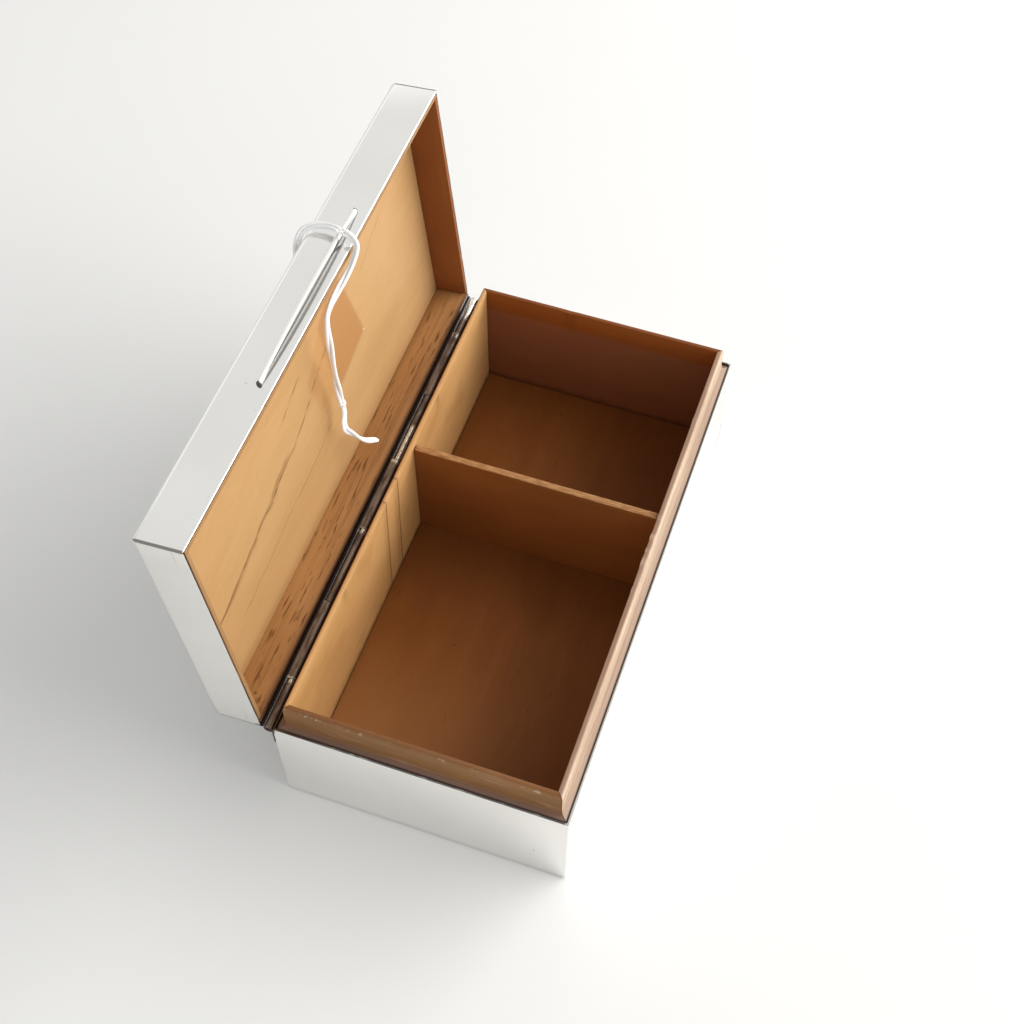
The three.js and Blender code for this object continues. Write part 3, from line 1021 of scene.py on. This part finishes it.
def lip_profile():
    """(inset from the outside, height, how much the edge wears there) round a board's section.

    The outer face sweeps out in a shallow cove just above the carcass.
    """
    low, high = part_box("lining_front")
    outside = half_y + low.y
    inside = half_y + high.y
    top = high.z
    rounding_across, rounding_down = 0.8 * MM, 1.6 * MM
    ease = 0.16 * MM
    profile = [
        (outside, low.z, 0.0),
        (inside, low.z, 0.0),
        (inside, top - 8 * MM, 0.0),
        (inside, top - ease, 0.5),
        (inside - 0.3 * ease, top - 0.3 * ease, 1.0),
        (inside - ease, top, 0.7),
    ]
    for i in range(11):
        angle = math.pi / 2 * i / 10
        profile.append(
            (
                outside + rounding_across * (1 - math.sin(angle)),
                top - rounding_down * (1 - math.cos(angle)),
                0.5 if i < 5 else 0.2,
            )
        )
    cove_across, cove_up = 0.62 * MM, 2.4 * MM
    foot = band_high.z + 0.05 * MM
    for i in range(1, 9):
        angle = math.pi / 2 * i / 8
        profile.append(
            (
                outside - cove_across * (1 - math.cos(angle)),
                foot + cove_up * (1 - math.sin(angle)),
                0.0,
            )
        )
    profile.append((outside, foot, 0.0))
    return profile


# place along the lip, reach and depth of each nick, in millimetres
nicks = {
    "front": [(-13, 1.2, 0.25), (-3, 2, 0.45), (1, 0.8, 0.35), (6, 1.1, 0.5), (13, 0.7, 0.3), (50, 1.5, 0.2)],
    "left": [(-22, 1.5, 0.2), (14, 1.0, 0.15)],
    "right": [(10, 1.5, 0.2)],
    "back": [(-40, 1.5, 0.15), (33, 1.2, 0.2)],
}


def nick_depth(side, place):
    depth = 0.0
    for at, reach, deepest in nicks[side]:
        depth += deepest * MM * math.exp(-(((place - at * MM) / (reach * MM)) ** 2))
    return depth


def lining_board(side, material, slot):
    """One mitred board of the lining, with a lip that years of use have nicked and rounded."""
    inward, offset, half = sides[side]
    along = inward.cross(Vector((0, 0, 1)))
    place_sign = along.x + along.y
    gap = 0.12 * MM
    stations = 150
    rings = []
    for i in range(stations + 1):
        t = 2 * i / stations - 1
        ring = []
        for inset, z, wear in lip_profile():
            reach = t * (half - inset - gap)
            uneven = 0.05 * MM * noise.noise(Vector((reach * 60, z * 300, offset * 50)))
            drop = wear * (nick_depth(side, reach * place_sign) + abs(uneven))
            from_middle = offset - inset - (0.6 * drop if wear >= 1 else 0)
            ring.append(along * reach - inward * from_middle + Vector((0, 0, z - drop)))
        rings.append(ring)
    board = loft(f"lining_board_{side}", rings, sharp_degrees=40)
    return dress(board, material, "base", slot, f"lining_{side}")


def base_linings():
    # light and dark wood, and the rest of each board's look
    woods = {
        "front": ((0.66, 0.52, 0.395), (0.52, 0.38, 0.28), dict(seed=1.3, figure=1.5, shine=0.08)),
        "back": ((0.585, 0.325, 0.125), (0.46, 0.235, 0.08), dict(seed=2.1, figure=0.6)),
        "left": ((0.31, 0.155, 0.055), (0.17, 0.072, 0.024), dict(grain="y", seed=3.4, shine=0.2)),
        "right": (
            (0.29, 0.085, 0.017),
            (0.18, 0.045, 0.010),
            dict(grain="y", seed=4.2, figure=0.6, shine=0.12),
        ),
    }
    for side, (light, dark, look) in woods.items():
        marks = base_back_marks if side == "back" else lip_marks
        wood = cedar(f"cedar_lining_{side}", light, dark, marks=marks, **look)
        lining_board(side, wood, "cedar" if side == "back" else "cedar_dark")


def base_floor():
    low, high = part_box("floor_board")
    board = slab("cedar_floor", low, high, 0.2 * MM)
    wood = cedar(
        "cedar_floor_wood",
        (0.27, 0.096, 0.022),
        (0.155, 0.048, 0.011),
        seed=5.5,
        figure=0.5,
        shine=0.12,
        marks=floor_flecks_and_painted_light,
    )
    return dress(board, wood, "base", "cedar_dark", "floor_board")


def divider_board():
    """The divider, with a flat worn top and its two upper corners just rounded."""
    low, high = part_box("divider")
    corner = 0.6 * MM
    ease = 0.12 * MM
    outline = [(low.y, low.z), (high.y, low.z)]
    right, left, level = high.y - corner, low.y + corner, high.z - corner
    for i in range(7):
        angle = math.pi / 2 * i / 6
        outline.append((right + corner * math.cos(angle), level + corner * math.sin(angle)))
    for i in range(1, 60):
        outline.append((right - (right - left) * i / 60, high.z))
    for i in range(7):
        angle = math.pi / 2 * (1 + i / 6)
        outline.append((left + corner * math.cos(angle), level + corner * math.sin(angle)))
    sections = [(low.x, ease), (low.x + 0.3 * ease, 0.3 * ease), (low.x + ease, 0)]
    sections += [(high.x - ease, 0), (high.x - 0.3 * ease, 0.3 * ease), (high.x, ease)]
    rings = []
    for x, shrink in sections:
        ring = []
        for y, z in outline:
            wobble = 0.06 * MM * noise.noise(Vector((y * 90, x * 400, 3.1)))
            top_share = max(0.0, (z - high.z + 2 * MM) / (2 * MM))
            side_share = (y - (low.y + high.y) / 2) / ((high.y - low.y) / 2)
            ring.append(Vector((x, y - shrink * 0.2 * side_share, z - (shrink + abs(wobble)) * top_share)))
        rings.append(ring)
    board = loft("divider_board", rings, sharp_degrees=50)

    def golden_top_and_highlight(parts):
        # a lighter, golden top edge: worn fibres, partly a painted highlight
        edge = between(parts[2], high.z - 0.32 * MM, high.z - 0.2 * MM)
        fibres = between(flat_cloud(parts[0], parts[1], (2600, 260), 3), 0.35, 0.65)
        worn = blend_colour(fibres, (0.29, 0.13, 0.045), (0.47, 0.25, 0.105))
        yield edge, 0.92, worn

    wood = cedar(
        "cedar_divider",
        (0.28, 0.095, 0.022),
        (0.17, 0.052, 0.012),
        grain="y",
        seed=6.1,
        figure=0.6,
        shine=0.2,
        marks=golden_top_and_highlight,
    )
    return dress(board, wood, "base", "cedar_dark", "divider")


def lid_boards():
    """The lid's panel, and a strip along each side that reaches up to the panel's underside."""
    bevel = 0.12 * MM
    pale, deep = (0.55, 0.332, 0.147), (0.465, 0.257, 0.099)
    panel_wood = cedar("cedar_lid_panel", pale, deep, on_lid=True, seed=8.3, figure=0.7, marks=panel_marks)
    panel_low, panel_high = shut_box("lid_panel")
    panel = turn_open(slab("lid_panel_board", panel_low, panel_high, bevel))
    dress(panel, panel_wood, "lid", "cedar", "lid_panel")
    strip_wood = cedar(
        "cedar_hinge_strip",
        (0.57, 0.30, 0.115),
        (0.385, 0.182, 0.06),
        on_lid=True,
        seed=9.2,
        figure=1.1,
        marks=back_strip_marks,
    )
    left_wood = cedar(
        "cedar_lid_left", pale, deep, grain="y", on_lid=True, seed=10.4, marks=lid_rim_painted_shade
    )
    right_wood = cedar(
        "cedar_lid_right",
        (0.29, 0.095, 0.024),
        (0.19, 0.058, 0.014),
        grain="y",
        on_lid=True,
        seed=12.2,
        figure=0.7,
        shine=0.2,
    )
    front_wood = cedar("cedar_lid_front", pale, deep, on_lid=True, seed=11.5, marks=lid_rim_painted_shade)
    boards = {
        "back": (strip_wood, "cedar_dark"),
        "front": (front_wood, "cedar"),
        "left": (left_wood, "cedar"),
        "right": (right_wood, "cedar"),
    }
    for side, (wood, slot) in boards.items():
        low, high = shut_box(f"lid_lining_{side}")
        high.z = panel_low.z + 0.01 * MM
        board = turn_open(slab(f"lid_strip_{side}", low, high, bevel))
        dress(board, wood, "lid", slot, f"lid_lining_{side}")


base_linings()
base_floor()
divider_board()
lid_boards()


# ---- Hinge ----

bore_radius = 0.8 * MM
knuckle_gap = 0.12 * MM
end_knuckle = 16 * MM
inner_knuckles = 5
leaf_thickness = 0.5 * MM
leaf_gap = 0.07 * MM


def knuckle_spans():
    """(low, high, owner) along X for each knuckle, with the base holding both ends."""
    low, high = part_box("hinge_pin")
    start = low.x
    inner = (high.x - low.x - 2 * end_knuckle) / inner_knuckles
    spans = []
    for i in range(inner_knuckles + 2):
        size = end_knuckle if i in (0, inner_knuckles + 1) else inner
        owner = "lid" if i % 2 else "base"
        spans.append((start + knuckle_gap / 2, start + size - knuckle_gap / 2, owner))
        start += size
    return spans


def knuckle_tube(low, high):
    """A knuckle rolled from sheet, with eased ends and an open bore."""
    ease = 0.2 * MM
    rows = [
        (low, bore_radius),
        (low, barrel_radius - ease),
        (low + 0.3 * ease, barrel_radius - 0.3 * ease),
        (low + ease, barrel_radius),
        (high - ease, barrel_radius),
        (high - 0.3 * ease, barrel_radius - 0.3 * ease),
        (high, barrel_radius - ease),
        (high, bore_radius),
    ]
    around = 28
    rings = []
    for x, radius in rows:
        ring = []
        for j in range(around):
            angle = 2 * math.pi * j / around
            y = hinge_point.y + radius * math.cos(angle)
            z = hinge_point.z + radius * math.sin(angle)
            ring.append(Vector((x, y, z)))
        rings.append(ring)
    return loft("knuckle", rings, wrap=True)


def hinge_leaf(owner):
    """A strip on the back face, a tongue to each of its own knuckles, and the knuckles.

    The strip's edge comes close up to the barrel, so no light shows between them.
    """
    node = f"{owner}_hinge_leaf"
    low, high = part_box(node) if owner == "base" else shut_box(node)
    near = low.y
    far = near + leaf_thickness
    reach = math.sqrt((barrel_radius + leaf_gap) ** 2 - (hinge_point.y - far) ** 2)
    if owner == "base":
        strip_low, strip_high = low.z, hinge_point.z - reach
    else:
        strip_low, strip_high = hinge_point.z + reach, high.z
    solids = [slab("strip", Vector((low.x, near, strip_low)), Vector((high.x, far, strip_high)), 0.1 * MM)]
    for start, end, whose in knuckle_spans():
        if whose != owner:
            continue
        foot = strip_low + MM if owner == "base" else hinge_point.z
        head = hinge_point.z if owner == "base" else strip_high - MM
        solids.append(
            slab(
                "tongue",
                Vector((start, near + 0.02 * MM, foot)),
                Vector((end, far - 0.02 * MM, head)),
                0.05 * MM,
            )
        )
        solids.append(knuckle_tube(start, end))
    leaf = join_solids(f"{owner}_leaf", solids)
    if owner == "lid":
        turn_open(leaf)
    dress(leaf, hinge_metal(f"hinge_{owner}"), owner, "hinge_metal", node)


hinge_leaf("base")
hinge_leaf("lid")


# ---- CAD nodes that keep their own shape ----

def repaint(node, material):
    node_object = frame["nodes"][node]
    node_object.data.materials.clear()
    node_object.data.materials.append(material)


front_board = cedar(
    "carcass_wood_front", (0.50, 0.37, 0.28), (0.36, 0.245, 0.18), seed=7.7, marks=ledge_gap_painted_shade
)
repaint("carcass_front", front_board)
grains = {"carcass_back": "x", "carcass_left": "y", "carcass_right": "y", "bottom_board": "x"}
for board, lay in grains.items():
    stained = cedar(
        f"wood_{board}", (0.27, 0.165, 0.12), (0.16, 0.085, 0.06), grain=lay, seed=6.9, marks=ledge_gap_painted_shade
    )
    repaint(board, stained)
repaint("under_pad", felt("pad_felt"))
repaint("hinge_pin", hinge_metal("hinge_pin_metal"))


# ---- Floor and light ----

def make_floor():
    size = 3.0
    mesh = bpy.data.meshes.new("floor")
    corners = [(-size, -size, 0), (size, -size, 0), (size, size, 0), (-size, size, 0)]
    mesh.from_pydata(corners, [], [(0, 1, 2, 3)])
    floor = bpy.data.objects.new("floor", mesh)
    scene.collection.objects.link(floor)
    material, tree = new_material("pale_floor")
    place = place_in_frame(tree)
    tone = cloud(scaled(place, (9, 9, 9)), 2)
    colour = blend_colour(tone, (0.84, 0.84, 0.83), (0.87, 0.87, 0.86))
    finish_material(colour, 0.5, {"Specular IOR Level": 0.25})
    mesh.materials.append(material)


def make_world():
    """A soft pale room, brightest round the horizon and towards the front right."""
    world = bpy.data.worlds.new("studio")
    world.use_nodes = True
    tree = world.node_tree
    tree.nodes.clear()
    x, y, z = separate(add("ShaderNodeTexCoord", tree=tree).outputs["Generated"])
    low = between(z, 0.62, 0.05)
    front = between(y, 0.6, -0.9)
    right = between(x, -0.9, 0.9)
    left = between(x, -0.1, -0.9)
    level = 0.34
    for share, strength in ((low, 0.45), (left, 0.28), (front, 0.25), (right, 0.12)):
        level = plus(level, times(share, strength))
    background = add("ShaderNodeBackground", {"Color": (1.0, 0.995, 0.985, 1), "Strength": level})
    add("ShaderNodeOutputWorld", {"Surface": background.outputs[0]})
    scene.world = world


def area_light(name, place, target, size, power, colour, diffuse=True):
    """A rectangular card of light, unseen by the camera. Without diffuse it shows in reflections only."""
    data = bpy.data.lights.new(name, "AREA")
    data.shape = "RECTANGLE"
    data.size, data.size_y = size
    data.energy = power
    data.color = colour
    light = bpy.data.objects.new(name, data)
    scene.collection.objects.link(light)
    light.visible_camera = False
    light.visible_diffuse = diffuse
    light.location = place
    light.rotation_mode = "QUATERNION"
    light.rotation_quaternion = (Vector(target) - Vector(place)).to_track_quat("-Z", "Y")


make_floor()
make_world()
area_light("window", (0.55, -1.0, 0.72), (0, 0, 0.03), (2.0, 0.9), 24, (1.0, 0.985, 0.96))
area_light("overhead_card", (0.75, 0.47, 1.2), (0, 0.05, 0.1), (2.4, 2.4), 7, (1, 1, 1), diffuse=False)
scene.view_settings.view_transform = "Standard"
